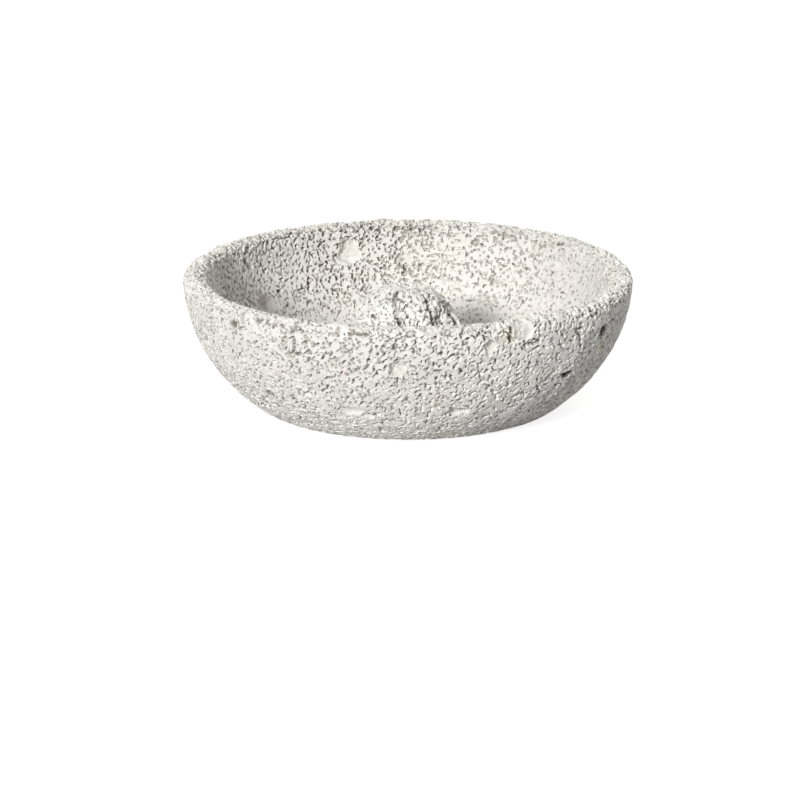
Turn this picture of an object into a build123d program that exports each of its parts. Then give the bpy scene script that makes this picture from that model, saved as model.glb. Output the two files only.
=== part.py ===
from build123d import *

import os
from math import cos, radians, sin, sqrt, tau

# Incense stick holder: a cast stone bowl, a rock bonded into its floor, a metal sleeve in
# the rock that takes the stick, and a cork pad under the foot.
# Millimetres, +Z up, origin on the table under the middle of the bowl.
# Turns are counted from the front, -Y, towards +X.

# Bowl
outer_diameter = 98.0
height = 29.0
foot_diameter = 66.0
side_lean = 4.0
wall = 5.2
floor = 7.0
lip_rise = 1.8
foot_edge_radius = 0.8
floor_fillet = 8.0

# Hollows left by trapped air, as round dimples in the cast sides
hollow_width = 4.2
hollow_depth = 0.9
# Each: turn in degrees, share of the height, share of the width. A long hollow is two that run together.
outer_hollow_shares = [
    (-2.5, 0.69, 1.00),
    (12.8, 0.30, 0.62),
    (15.8, 0.32, 0.58),
    (-17.8, 0.30, 0.65),
    (-14.6, 0.31, 0.70),
    (20.9, 0.83, 0.80),
    (47.8, 0.50, 0.45),
    (59.1, 0.76, 0.62),
    (-42.4, 0.36, 0.42),
    (-68.0, 0.62, 0.50),
    (82.0, 0.66, 0.55),
    (104.0, 0.40, 0.95),
    (133.0, 0.70, 0.60),
    (152.0, 0.38, 0.70),
    (-92.0, 0.44, 0.60),
    (-128.0, 0.38, 0.80),
    (-158.0, 0.66, 1.00),
]
inner_hollow_shares = [
    (198.0, 0.80, 1.25),
    (234.4, 0.54, 1.05),
    (160.5, 0.82, 0.50),
    (128.3, 0.78, 0.60),
    (62.0, 0.60, 0.70),
    (-28.0, 0.62, 0.90),
    (-82.0, 0.66, 0.65),
]

# Chips broken out of the lip
chip_width = 5.6
chip_depth = 1.0
# Each: turn in degrees, tip of the bite up from level in degrees, share of the width
lip_chip_shares = [
    (31.0, 55.0, 1.00),
    (147.0, 70.0, 0.70),
    (-112.0, 50.0, 0.80),
]

# Cork pad, let into the foot
pad_diameter = 54.0
pad_recess = 0.8
pad_stand = 0.4
pad_gap = 0.4

# Rock
rock_width = 28.0
rock_height = 18.0
rock_corners = 24
# How far the rock's crown stands to the left of the hole
rock_drift = 0.7
# Each section: share of the rock's height, share of its width
rock_section_shares = [
    (0.00, 1.00),
    (0.20, 0.96),
    (0.42, 0.88),
    (0.62, 0.78),
    (0.78, 0.69),
    (0.88, 0.59),
    (0.96, 0.43),
    (1.00, 0.31),
]
# Each wave of crags: count round the rock, turn from one section to the next, share of the reach
crag_wave_shares = [
    (3, 1.1, 0.040),
    (5, -1.9, 0.036),
    (8, 1.0, 0.030),
    (11, 2.3, 0.020),
]
cleft_width = 1.5
cleft_depth = 1.7
# Each cleft: turn in degrees at its foot and at its head, shares of the rock's height between which it runs
rock_cleft_shares = [
    (30.0, 36.0, 0.42, 0.96),
    (50.0, 54.0, 0.42, 0.96),
    (66.0, 72.0, 0.20, 0.88),
    (-10.0, -16.0, 0.88, 1.00),
    (128.0, 118.0, 0.42, 0.96),
    (176.0, 186.0, 0.20, 0.88),
    (-105.0, -98.0, 0.20, 0.88),
    (-152.0, -144.0, 0.42, 1.00),
]
tenon_diameter = 14.0
tenon_depth = 2.0
tenon_clearance = 0.2

# Stick sleeve
stick_bore = 2.6
sleeve_wall = 0.5
sleeve_length = 14.0
sleeve_lead = 0.2
sleeve_sink = 1.2
sleeve_clearance = 0.05

# How far a cutting tool runs past the face that it cuts
overrun = 1.0

# Sizes that follow from those above
outer_radius = outer_diameter / 2
foot_radius = foot_diameter / 2
foot_level = pad_stand
floor_level = foot_level + floor
pad_thickness = pad_stand + pad_recess
rock_top = floor_level + rock_height
sleeve_top = rock_top - sleeve_sink
sleeve_foot = sleeve_top - sleeve_length
sleeve_outer_radius = stick_bore / 2 + sleeve_wall

# The outer side is one arc, which leans out by side_lean degrees under the lip and runs in to
# the edge of the foot. The inner side is an arc about the same centre.
lean = radians(side_lean)
side_top = height - lip_rise
side_run = outer_radius - foot_radius
side_rise = side_top - foot_level
side_radius = (side_run**2 + side_rise**2) / (2 * (side_run * cos(lean) - side_rise * sin(lean)))
inner_radius = side_radius - wall
side_centre = outer_radius - side_radius * cos(lean)
side_centre_level = side_top + side_radius * sin(lean)


def side_reach(radius, level):
    """Distance from the bowl's axis to an arc about the side's centre, at this level."""
    return side_centre + sqrt(radius**2 - (side_centre_level - level) ** 2)


# The lip is half an ellipse that spans the wall
lip_inside = side_reach(inner_radius, side_top)
lip_reach = (outer_radius - lip_inside) / 2
lip_middle = outer_radius - lip_reach


def front_turn(degrees):
    """Unit vector from the axis towards a turn counted from the front."""
    return Vector(sin(radians(degrees)), -cos(radians(degrees)), 0)


def bowl_profile():
    """Half section of the bowl, on the XZ plane."""
    foot_edge = (foot_radius, foot_level)
    floor_edge = (side_reach(inner_radius, floor_level), floor_level)
    outside = (outer_radius, side_top)
    inside = (lip_inside, side_top)
    outline = [
        Line((0, foot_level), foot_edge),
        RadiusArc(foot_edge, outside, -side_radius),
        EllipticalCenterArc((lip_middle, side_top), lip_reach, lip_rise, arc_size=180),
        RadiusArc(inside, floor_edge, inner_radius),
        Line(floor_edge, (0, floor_level)),
        Line((0, floor_level), (0, foot_level)),
    ]
    section = make_face(outline)
    section = fillet(section.vertices().sort_by_distance(floor_edge)[0], floor_fillet)
    section = fillet(section.vertices().sort_by_distance(foot_edge)[0], foot_edge_radius)
    return Plane.XZ * section


def upright(radius, bottom, top):
    """Round bar on the bowl's axis, between two levels."""
    bar = Cylinder(radius, top - bottom, align=(Align.CENTER, Align.CENTER, Align.MIN))
    return Pos(0, 0, bottom) * bar


def dimple(place, outward, width, depth):
    """Ball that leaves a hollow of this width and depth where it meets the surface."""
    ball_radius = (width**2 / 4 + depth**2) / (2 * depth)
    return Pos(place + outward * (ball_radius - depth)) * Sphere(ball_radius)


def wall_hollow(shares, radius, facing):
    """Cutter for one hollow in the outer side, facing 1, or the inner side, facing -1."""
    turn, height_share, width_share = shares
    level = height * height_share
    reach = side_reach(radius, level)
    place = front_turn(turn) * reach + Vector(0, 0, level)
    across = front_turn(turn) * (reach - side_centre)
    outward = (across + Vector(0, 0, level - side_centre_level)).normalized() * facing
    return dimple(place, outward, hollow_width * width_share, hollow_depth * width_share)


def lip_chip(shares):
    """Cutter for one bite out of the rounded lip."""
    turn, tip, width_share = shares
    across = front_turn(turn) * cos(radians(tip))
    up = Vector(0, 0, sin(radians(tip)))
    place = front_turn(turn) * lip_middle + Vector(0, 0, side_top) + across * lip_reach + up * lip_rise
    outward = (across / lip_reach + up / lip_rise).normalized()
    return dimple(place, outward, chip_width * width_share, chip_depth)


def make_bowl():
    """Cast bowl: turned section, recesses for the rock and the pad, hollows and chips."""
    body = revolve(bowl_profile(), Axis.Z)
    seat_level = floor_level - tenon_depth - tenon_clearance
    body -= upright(tenon_diameter / 2 + tenon_clearance, seat_level, floor_level + overrun)
    body -= upright(pad_diameter / 2 + pad_gap, -overrun, pad_thickness)
    cutters = [wall_hollow(shares, side_radius, 1) for shares in outer_hollow_shares]
    cutters += [wall_hollow(shares, inner_radius, -1) for shares in inner_hollow_shares]
    cutters += [lip_chip(shares) for shares in lip_chip_shares]
    for cutter in cutters:
        body -= cutter
    return body


def rock_reach(section, angle):
    """Distance from the rock's axis to its surface, at a section and an angle in radians."""
    width_share = rock_section_shares[section][1]
    crag = sum(share * sin(count * angle + turn * section) for count, turn, share in crag_wave_shares)
    return rock_width / 2 * width_share * (1 + crag)


def rock_level(section):
    """Height of a section of the rock above the table."""
    return floor_level + rock_height * rock_section_shares[section][0]


def rock_place(section):
    """Middle of a section of the rock. The drift grows from its foot to half its height."""
    drift_share = min(1, 2 * rock_section_shares[section][0])
    return Pos(-rock_drift * drift_share, 0, rock_level(section))


def rock_section(section):
    """Craggy outline of the rock at one of its sections."""
    points = []
    for corner in range(rock_corners):
        angle = tau * corner / rock_corners
        reach = rock_reach(section, angle)
        points.append((reach * sin(angle), -reach * cos(angle)))
    return rock_place(section) * make_face(Polyline(*points, close=True))


def rock_cleft(foot_turn, head_turn, lowest_share, highest_share):
    """Cutter for a vee that runs up the rock's flank, section by section."""
    mouth = cleft_width / 2 * (1 + overrun / cleft_depth)
    wedges = []
    for section, (height_share, _) in enumerate(rock_section_shares):
        if lowest_share <= height_share <= highest_share:
            run_share = (height_share - lowest_share) / (highest_share - lowest_share)
            turn = foot_turn + (head_turn - foot_turn) * run_share
            reach = rock_reach(section, radians(turn))
            points = [
                (reach - cleft_depth, 0),
                (reach + overrun, mouth),
                (reach + overrun, -mouth),
            ]
            outline = make_face(Polyline(*points, close=True))
            wedges.append(rock_place(section) * Rot(0, 0, turn - 90) * outline)
    return loft(wedges, ruled=True)


def make_stick_rock():
    """Craggy rock with a tenon below and a blind hole for the sleeve in its top."""
    body = loft([rock_section(section) for section in range(len(rock_section_shares))], ruled=True)
    for cleft in rock_cleft_shares:
        body -= rock_cleft(*cleft)
    body += upright(tenon_diameter / 2, floor_level - tenon_depth, floor_level)
    body -= upright(sleeve_outer_radius + sleeve_clearance, sleeve_foot, rock_top + overrun)
    return body


def make_stick_sleeve():
    """Thin tube that lines the hole in the rock, with a lead at its mouth."""
    tube = upright(sleeve_outer_radius, sleeve_foot, sleeve_top)
    tube -= upright(stick_bore / 2, sleeve_foot, sleeve_top)
    mouth = tube.edges().filter_by(GeomType.CIRCLE).group_by(Axis.Z)[-1].sort_by(SortBy.RADIUS)[0]
    return chamfer(mouth, sleeve_lead)


def make_foot_pad():
    """Cork disc that the bowl stands on."""
    return upright(pad_diameter / 2, 0, pad_thickness)


os.makedirs("parts", exist_ok=True)
export_step(make_bowl(), "parts/bowl.step")
export_step(make_stick_rock(), "parts/stick_rock.step")
export_step(make_stick_sleeve(), "parts/stick_sleeve.step")
export_step(make_foot_pad(), "parts/foot_pad.step")
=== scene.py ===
from collections import namedtuple
from math import atan2, cos, hypot, radians, sin, sqrt, tau

import bpy
import numpy as np
from bpy.props import FloatProperty, FloatVectorProperty, IntProperty, PointerProperty
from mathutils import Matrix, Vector


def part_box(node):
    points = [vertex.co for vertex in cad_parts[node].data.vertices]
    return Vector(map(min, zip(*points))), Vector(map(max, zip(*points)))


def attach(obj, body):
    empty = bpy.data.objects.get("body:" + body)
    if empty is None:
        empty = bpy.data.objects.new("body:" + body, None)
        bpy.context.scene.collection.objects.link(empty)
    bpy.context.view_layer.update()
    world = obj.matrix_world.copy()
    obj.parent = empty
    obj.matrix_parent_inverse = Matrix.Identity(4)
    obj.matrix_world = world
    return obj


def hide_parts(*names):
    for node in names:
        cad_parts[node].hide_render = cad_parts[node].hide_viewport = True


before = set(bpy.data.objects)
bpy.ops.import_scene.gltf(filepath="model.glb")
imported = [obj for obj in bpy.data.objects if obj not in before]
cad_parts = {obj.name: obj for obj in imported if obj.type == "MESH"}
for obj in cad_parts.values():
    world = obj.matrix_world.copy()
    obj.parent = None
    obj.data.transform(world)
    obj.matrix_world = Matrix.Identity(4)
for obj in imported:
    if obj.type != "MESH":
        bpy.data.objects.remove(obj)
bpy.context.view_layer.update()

bl_info = {
    "name": "Incense stick holder",
    "version": (1, 0, 0),
    "blender": (4, 5, 0),
    "location": "View3D > Sidebar > Holder",
    "description": "Models a pitted cast stone bowl with a rock in it that holds an incense stick",
    "category": "Add Mesh",
}

# Metres, +Z up, origin on the table under the middle of the bowl.
# Turns are counted from the front, -Y, towards +X.
BOWL_LOW, BOWL_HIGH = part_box("bowl")
ROCK_LOW, ROCK_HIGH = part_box("stick_rock")
SLEEVE_LOW, SLEEVE_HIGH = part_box("stick_sleeve")
PAD_LOW, PAD_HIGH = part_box("foot_pad")

# Hollows left by trapped air. Each: turn in degrees, share of the height, share of the hollow width,
# share of the hollow depth, how much longer than high, share of dirt in it.
OUTER_HOLLOW_SHARES = [
    (-2.5, 0.690, 1.00, 1.00, 0.85, 0.0),
    (14.4, 0.310, 0.62, 0.80, 1.90, 0.0),
    (-16.3, 0.305, 0.66, 0.80, 2.10, 0.0),
    (20.9, 0.838, 0.78, 0.90, 1.00, 0.0),
    (23.8, 0.880, 0.62, 0.25, 1.10, 0.0),
    (47.8, 0.490, 0.48, 1.50, 1.70, 1.0),
    (59.6, 0.760, 0.74, 1.50, 1.00, 1.0),
    (-48.9, 0.885, 0.44, 1.20, 1.20, 0.8),
    (-42.6, 0.350, 0.46, 1.20, 1.20, 0.8),
    (-68.0, 0.620, 0.40, 0.70, 1.20, 0.2),
    (82.0, 0.660, 0.48, 0.90, 1.00, 0.3),
    (104.0, 0.400, 0.90, 0.90, 1.30, 0.0),
    (133.0, 0.700, 0.50, 0.90, 1.00, 0.4),
    (152.0, 0.380, 0.62, 0.80, 1.60, 0.0),
    (-158.0, 0.660, 0.95, 1.00, 0.90, 0.0),
    (-128.0, 0.380, 0.75, 0.80, 1.50, 0.0),
    (-92.0, 0.440, 0.50, 1.00, 1.20, 0.5),
]
INNER_HOLLOW_SHARES = [
    (197.9, 0.785, 1.45, 1.20, 0.90, 0.0),
    (232.6, 0.490, 1.45, 2.60, 0.90, 0.0),
    (159.5, 0.855, 0.36, 0.80, 1.30, 0.4),
    (128.3, 0.790, 0.60, 0.40, 1.20, 0.0),
    (62.0, 0.600, 0.60, 0.70, 1.20, 0.0),
    (-28.0, 0.620, 0.80, 0.90, 1.00, 0.0),
    (-82.0, 0.660, 0.60, 0.80, 1.00, 0.0),
]

# Cracks in the sides. Each: turn in degrees and share of the height at one end and at the other,
# share of the crack width, share of the crack depth.
OUTER_CRACK_SHARES = [
    (25.7, 0.980, 26.9, 0.830, 1.10, 1.30),
    (29.5, 0.800, 35.5, 0.850, 0.80, 0.80),
    (8.9, 0.763, 13.9, 0.802, 0.80, 0.90),
    (-4.3, 0.825, -2.6, 0.885, 0.90, 1.00),
    (46.6, 0.880, 50.3, 0.700, 0.60, 0.70),
    (-14.0, 0.280, -6.6, 0.285, 0.80, 0.80),
    (38.0, 0.460, 44.0, 0.560, 0.70, 0.80),
    (-30.0, 0.420, -25.0, 0.470, 0.70, 0.70),
    (71.0, 0.640, 75.0, 0.500, 0.70, 0.80),
    (118.0, 0.760, 126.0, 0.700, 0.80, 0.90),
    (166.0, 0.480, 171.0, 0.600, 0.80, 0.90),
    (-104.0, 0.780, -99.0, 0.660, 0.80, 0.90),
    (-142.0, 0.520, -137.0, 0.600, 0.80, 0.90),
    (-78.0, 0.380, -71.0, 0.420, 0.70, 0.80),
]
INNER_CRACK_SHARES = [
    (182.8, 0.704, 180.9, 0.610, 0.80, 1.00),
    (212.0, 0.600, 214.5, 0.540, 0.80, 1.00),
    (238.0, 0.880, 234.0, 0.780, 0.80, 1.00),
    (150.0, 0.560, 153.0, 0.640, 0.60, 0.70),
    (20.0, 0.780, 24.0, 0.660, 0.80, 0.90),
    (-60.0, 0.560, -54.0, 0.640, 0.80, 0.90),
    (88.0, 0.740, 93.0, 0.660, 0.80, 0.90),
]

# Chips broken out of the lip. Each: turn in degrees, tilt of the bite up from level in degrees,
# share of the chip width, share of the chip depth.
LIP_CHIP_SHARES = [
    (29.8, 16.0, 0.85, 0.80),
    (5.8, 62.0, 0.55, 0.50),
    (147.0, 78.0, 0.48, 1.60),
    (151.0, 80.0, 0.34, 0.50),
    (-112.0, 50.0, 0.70, 0.80),
    (-67.0, 70.0, 0.45, 0.50),
    (96.0, 66.0, 0.50, 0.60),
    (-163.0, 72.0, 0.50, 0.60),
]

# Stains on the outer side. Each: turn in degrees, share of the height, share of the stain width.
STAIN_SHARES = [
    (25.4, 0.905, 1.00),
    (61.5, 0.640, 0.90),
    (112.0, 0.820, 1.00),
    (-121.0, 0.640, 1.10),
    (171.0, 0.760, 0.80),
]

# Hollows and chips: how far their edge strays from round, the counts of the two waves in it, how much
# of the relief is left in them, the power that flattens their floor, and where their smoothness ends
RAGGED_SHARE = 0.07
RAGGED_COUNTS = (3, 5)
RELIEF_LEFT_SHARE = 0.25
FLATTENING_POWER = 6
SMOOTH_END_SHARES = (0.85, 1.10)

# Cracks and clefts: how far they wind from end to end, in radians, how far a cleft sways aside, in
# radians, and the shares of its run over which a cleft opens at its foot and closes at its head
WINDING = 9
CLEFT_SWAY = 0.04
CLEFT_OPENING_SHARES = (-0.10, 0.15)
CLEFT_CLOSING_SHARES = (0.90, 1.10)

# Ranges of a noise over which pits, crumbs and creases rise from their bottom to the surface
PIT_RANGE = (0.355, 0.435)
FEW_PITS_RANGE = (0.330, 0.400)
ROCK_PITS_RANGE = (0.310, 0.380)
CRUMB_RANGE = (0.350, 0.510)
CREASE_RANGE = (0.000, 0.100)

# Values of a noise that leave the surface where it is. At the highest, the surface only sinks.
WOBBLE_MIDDLE = 0.50
LUMP_MIDDLE = 0.62
ROCK_LUMP_MIDDLE = 0.60
HIGHEST = 1.00

# Shares of the relief that are left at the foot, on the right of the inner side and on the floor, and
# the share of the radius over which the inner side changes from left to right
FOOT_RELIEF_SHARE = 0.25
RIGHT_RELIEF_SHARE = 0.75
FLOOR_RELIEF_SHARE = 0.25
CHANGE_SHARE = 0.4

# Painted shade: how dark crumbs and creases are painted beside pits, and how much darker the hollows, the
# chips and the inner side are painted
CRUMB_PAINTED_SHADE_SHARE = 1 / 3
CREASE_PAINTED_SHADE_SHARE = 1 / 2
HOLLOW_PAINTED_SHADE_SHARE = 0.9
INNER_PAINTED_SHADE_SHARE = 0.8

# Waves in a slow pattern, the turn from one to the next, and the range in which the stone gets smoother
WAVE_COUNT = 11
GOLDEN_TURN = tau * (3 - sqrt(5)) / 2
PATCH_RANGE = (1.0, 1.7)

# Steps of a section on faces that show little or not at all, in grains of the mesh
HIDDEN_GRAINS = 10
FOOT_GRAINS = 3
FLOOR_GRAINS = 2
ROCK_HIDDEN_GRAINS = 4

# Steps in the weights of a group, distance under which two points are one, and sharpest smooth edge
WEIGHT_STEPS = 32
MERGE_DISTANCE = 1e-6
SMOOTH_ANGLE = radians(25)

# How fast the brass's marks change along the tube, as a share of how fast they change round it
MARK_RUN_SHARE = 0.05

# Colour inputs of a mix node, and its colour output
MIX_INPUTS = (6, 7)
MIX_OUTPUT = 2

# The rock's flank, from its foot to the edge of its top.
# Each section: share of the height, share of the width.
ROCK_SECTION_SHARES = [
    (0.00, 1.00),
    (0.20, 0.96),
    (0.42, 0.88),
    (0.62, 0.78),
    (0.78, 0.69),
    (0.88, 0.59),
    (0.96, 0.43),
    (1.00, 0.31),
]

# Waves of crags. Each: count round the rock, turn from one section to the next, share of the reach.
CRAG_WAVE_SHARES = [
    (3, 1.1, 0.040),
    (5, -1.9, 0.036),
    (8, 1.0, 0.030),
    (11, 2.3, 0.020),
]

# Clefts in the rock. Each: turn in degrees at its foot and at its head, shares of the height at its foot
# and at its head, share of the cleft width, share of the cleft depth.
ROCK_CLEFT_SHARES = [
    (30.0, 36.0, 0.42, 0.96, 1.10, 1.20),
    (50.0, 54.0, 0.42, 0.96, 0.90, 1.20),
    (66.0, 72.0, 0.20, 0.88, 1.70, 1.50),
    (41.0, 45.0, 0.60, 0.90, 0.60, 0.60),
    (-4.0, -28.0, 0.60, 1.00, 0.90, 0.80),
    (8.0, 12.0, 0.55, 0.84, 0.50, 0.40),
    (128.0, 118.0, 0.42, 0.96, 1.00, 1.00),
    (176.0, 186.0, 0.20, 0.88, 1.00, 1.00),
    (-105.0, -98.0, 0.20, 0.88, 1.00, 1.00),
    (-152.0, -144.0, 0.42, 1.00, 1.00, 1.00),
]


def length(name, default, description):
    """A size that the user can set, in metres."""
    return FloatProperty(name=name, description=description, default=default, precision=5,
                         min=0, unit="LENGTH", subtype="DISTANCE")


def number(name, default, description):
    """A plain number that the user can set."""
    return FloatProperty(name=name, description=description, default=default, min=0)


def turn(name, default, description):
    """An angle that the user can set, given in degrees."""
    return FloatProperty(name=name, description=description, default=radians(default),
                         unit="ROTATION", subtype="ANGLE")


def colour(name, default, description):
    """A colour that the user can set."""
    return FloatVectorProperty(name=name, description=description, default=default, size=3,
                               min=0, max=1, subtype="COLOR")


class BowlSettings(bpy.types.PropertyGroup):
    """Sizes of the bowl."""

    outer_diameter: length("Outer diameter", BOWL_HIGH.x - BOWL_LOW.x, "Widest diameter, under the lip")
    height: length("Height", BOWL_HIGH.z, "Top of the lip above the table")
    foot_level: length("Foot level", BOWL_LOW.z, "Underside of the foot above the table")
    foot_diameter: length("Foot diameter", 0.066, "Diameter where the side meets the foot")
    foot_edge: length("Foot edge", 0.0008, "Radius of the edge of the foot")
    side_lean: turn("Side lean", 4.0, "Lean of the side under the lip, outwards from upright")
    wall: length("Wall", 0.0052, "Thickness of the side")
    lip_rise: length("Lip rise", 0.0018, "Height of the rounded lip")
    floor: length("Floor", 0.007, "Thickness of the floor")
    floor_fillet: length("Floor fillet", 0.008, "Radius between the floor and the inner side")
    seat_diameter: length("Seat diameter", 0.0144, "Recess in the floor that the rock is bedded in")
    seat_depth: length("Seat depth", 0.0022, "Depth of that recess")
    pad_gap: length("Pad gap", 0.0004, "Gap round the pad in the foot's recess")
    hollow_width: length("Hollow width", 0.0042, "Width of a full-sized hollow")
    hollow_depth: length("Hollow depth", 0.0011, "Depth of a full-sized hollow")
    chip_width: length("Chip width", 0.0060, "Width of the largest chip in the lip")
    chip_depth: length("Chip depth", 0.0011, "Depth of the largest chip in the lip")
    crack_width: length("Crack width", 0.0007, "Width of a full-sized crack")
    crack_depth: length("Crack depth", 0.0011, "Depth of a full-sized crack")
    stain_width: length("Stain width", 0.0048, "Width of a full-sized stain")
    # A tan band of painted warm light, bounced up onto the foot from the table
    foot_bounce: length("Foot stain", 0.0009, "How far the stain at the foot runs up the side")
    grain: length("Mesh grain", 0.00022, "Spacing of the mesh before it is thinned")
    triangles: IntProperty(name="Triangles", description="Triangles left after thinning", default=196000)


class StoneSettings(bpy.types.PropertyGroup):
    """Relief and colours of the cast stone."""

    wobble_size: length("Wobble size", 0.008, "Spacing of the casting's slow unevenness")
    wobble_depth: length("Wobble depth", 0.0005, "Depth of that unevenness")
    lump_size: length("Lump size", 0.0020, "Spacing of the lumps")
    lump_depth: length("Lump depth", 0.00035, "Depth from lump to lump")
    pit_size: length("Pit size", 0.00062, "Spacing of the pits")
    pit_depth: length("Pit depth", 0.0013, "Depth of the pits")
    crumb_size: length("Crumb size", 0.0011, "Spacing of the crumbs missing from the lip")
    crumb_depth: length("Crumb depth", 0.0005, "Depth of the crumbs missing from the lip")
    pinhole_spacing: length("Pinhole spacing", 0.0012, "Spacing of the pinholes")
    pinhole_depth: length("Pinhole depth", 0.00025, "Depth of the pinholes")
    patch_size: length("Patch size", 0.008, "Spacing of the smoother patches")
    patch_relief: number("Patch relief", 0.70, "Share of the relief that is left in the smoother patches")
    blotch_size: length("Blotch size", 0.005, "Spacing of the duller blotches")
    tint_size: length("Tint size", 0.006, "Spacing of the warm patches")
    grain_size: length("Grain size", 0.0003, "Spacing of the fine grain")
    grain_depth: length("Grain depth", 0.00003, "Depth of the fine grain")
    pale: colour("Pale stone", (0.87, 0.855, 0.815), "Colour of the stone's lumps")
    # The shaded stone is the stone's random duller tone, and also the painted shade over the bowl's inner
    # side, its hollows and its chips
    shade: colour("Shaded stone", (0.74, 0.722, 0.68), "Colour of the stone's duller patches")
    tint: colour("Tinted stone", (0.82, 0.76, 0.70), "Colour of the few warm patches")
    # Painted shade, in the pits, pinholes, crumbs, cracks, creases and clefts
    painted_shade_colour: colour("Cavity", (0.19, 0.165, 0.125), "Colour deep in the pits")
    dirt: colour("Dirt", (0.10, 0.065, 0.035), "Colour of the dirt in the dark hollows")
    # The stain colour is also the tan of the painted warm bounce light along the foot
    stain_and_bounce: colour("Stained stone", (0.77, 0.70, 0.59), "Colour of the stains")


class RockSettings(bpy.types.PropertyGroup):
    """Sizes of the rock."""

    width: length("Width", 0.028, "Width at the foot of the rock")
    floor_level: length("Floor level", 0.0074, "Level of the floor that it stands on")
    top: length("Top", ROCK_HIGH.z, "Level of its top")
    tenon_foot: length("Tenon foot", ROCK_LOW.z, "Level of the underside of its tenon")
    tenon_diameter: length("Tenon diameter", 0.014, "Diameter of the tenon under it")
    hole_clearance: length("Hole clearance", 0.00005, "Gap round the sleeve in its hole")
    drift: length("Drift", 0.0007, "How far the crown stands to the left of the hole")
    block_size: length("Block size", 0.0042, "Size of the blocks between the creases")
    crease_depth: length("Crease depth", 0.0004, "Depth of the creases between the blocks")
    cleft_width: length("Cleft width", 0.0010, "Width of a full-sized cleft")
    cleft_depth: length("Cleft depth", 0.0020, "Depth of a full-sized cleft")
    mouth_width: length("Mouth width", 0.0074, "Width of the worn mouth of the hole")
    mouth_depth: length("Mouth depth", 0.00075, "How far the back of the mouth is worn down")
    grain: length("Mesh grain", 0.00025, "Spacing of the mesh")


class SleeveSettings(bpy.types.PropertyGroup):
    """Sizes and colours of the stick sleeve."""

    outer_diameter: length("Outer diameter", SLEEVE_HIGH.x - SLEEVE_LOW.x, "Outside of the tube")
    bore: length("Bore", 0.0026, "Hole that takes the stick")
    lead: length("Lead", 0.0002, "Chamfer at the mouth of the bore")
    sides: IntProperty(name="Sides", description="Flat faces round the tube", default=96)
    mark_size: length("Mark size", 0.0003, "Spacing of the marks left by drawing the tube")
    mark_depth: length("Mark depth", 0.00002, "Depth of those marks")
    brass: colour("Brass", (0.72, 0.53, 0.25), "Colour of the metal")
    dark: colour("Dark brass", (0.504, 0.371, 0.175), "Colour of the metal in those marks")


class PadSettings(bpy.types.PropertyGroup):
    """Sizes and colours of the cork pad."""

    diameter: length("Diameter", PAD_HIGH.x - PAD_LOW.x, "Diameter of the disc")
    thickness: length("Thickness", PAD_HIGH.z - PAD_LOW.z, "Thickness of the disc")
    edge: length("Edge", 0.00015, "Rounding of its edges")
    edge_steps: IntProperty(name="Edge steps", description="Steps to a radius of the edges", default=4)
    grain: length("Mesh grain", 0.0003, "Spacing of the mesh on the rim")
    sides: IntProperty(name="Sides", description="Flat faces round the disc", default=360)
    granule: length("Granule", 0.0016, "Size of the cork granules")
    seam_depth: length("Seam depth", 0.0002, "Depth of the seams between the granules")
    pale: colour("Pale granules", (0.62, 0.44, 0.27), "Colour of the palest granules")
    dark: colour("Dark granules", (0.36, 0.22, 0.12), "Colour of the darkest granules")
    seam: colour("Seams", (0.18, 0.11, 0.06), "Colour of the seams between the granules")


class StageSettings(bpy.types.PropertyGroup):
    """Camera, light and floor."""

    view_height: turn("View height", 15.5, "Height of the camera above level, seen from the bowl")
    view_distance: length("View distance", 0.9, "Camera to the middle of the bowl")
    pixels_per_metre: number("Pixels per metre", 4568.0, "Scale of the picture at the middle of the bowl")
    picture: IntProperty(name="Picture", description="Width of the picture in pixels", default=800)
    middle_column: number("Middle column", 408.0, "Column of the picture that the bowl's axis stands on")
    middle_row: number("Middle row", 334.0, "Row of the picture that the bowl's middle stands on")
    key_turn: turn("Key turn", -26.0, "Turn of the key light from the front")
    key_height: turn("Key height", 22.0, "Height of the key light above level")
    key_spread: turn("Key spread", 13.0, "Width of the key light, seen from the bowl")
    key_strength: number("Key strength", 3.0, "Light from the key")
    fill_turn: turn("Fill turn", 60.0, "Turn of the fill light from the front")
    fill_height: turn("Fill height", 62.0, "Height of the fill light above level")
    fill_spread: turn("Fill spread", 40.0, "Width of the fill light, seen from the bowl")
    fill_strength: number("Fill strength", 0.85, "Light from the fill")
    back_turn: turn("Back turn", 165.0, "Turn of the back light from the front")
    back_height: turn("Back height", 16.0, "Height of the back light above level")
    back_spread: turn("Back spread", 30.0, "Width of the back light, seen from the bowl")
    back_strength: number("Back strength", 1.7, "Light from the back")
    sky: number("Sky", 0.11, "Light from all round")
    floor_glow: number("Floor glow", 0.86, "Part of the floor's white that shadows leave alone")
    floor_tone: number("Floor tone", 0.30, "Part of the floor's white that shadows darken")
    floor_bounce: number("Floor bounce", 0.50, "Tone of the floor for the light that it sends back")
    floor_size: length("Floor size", 12.0, "Width of the floor")


# Modelling helpers


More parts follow.
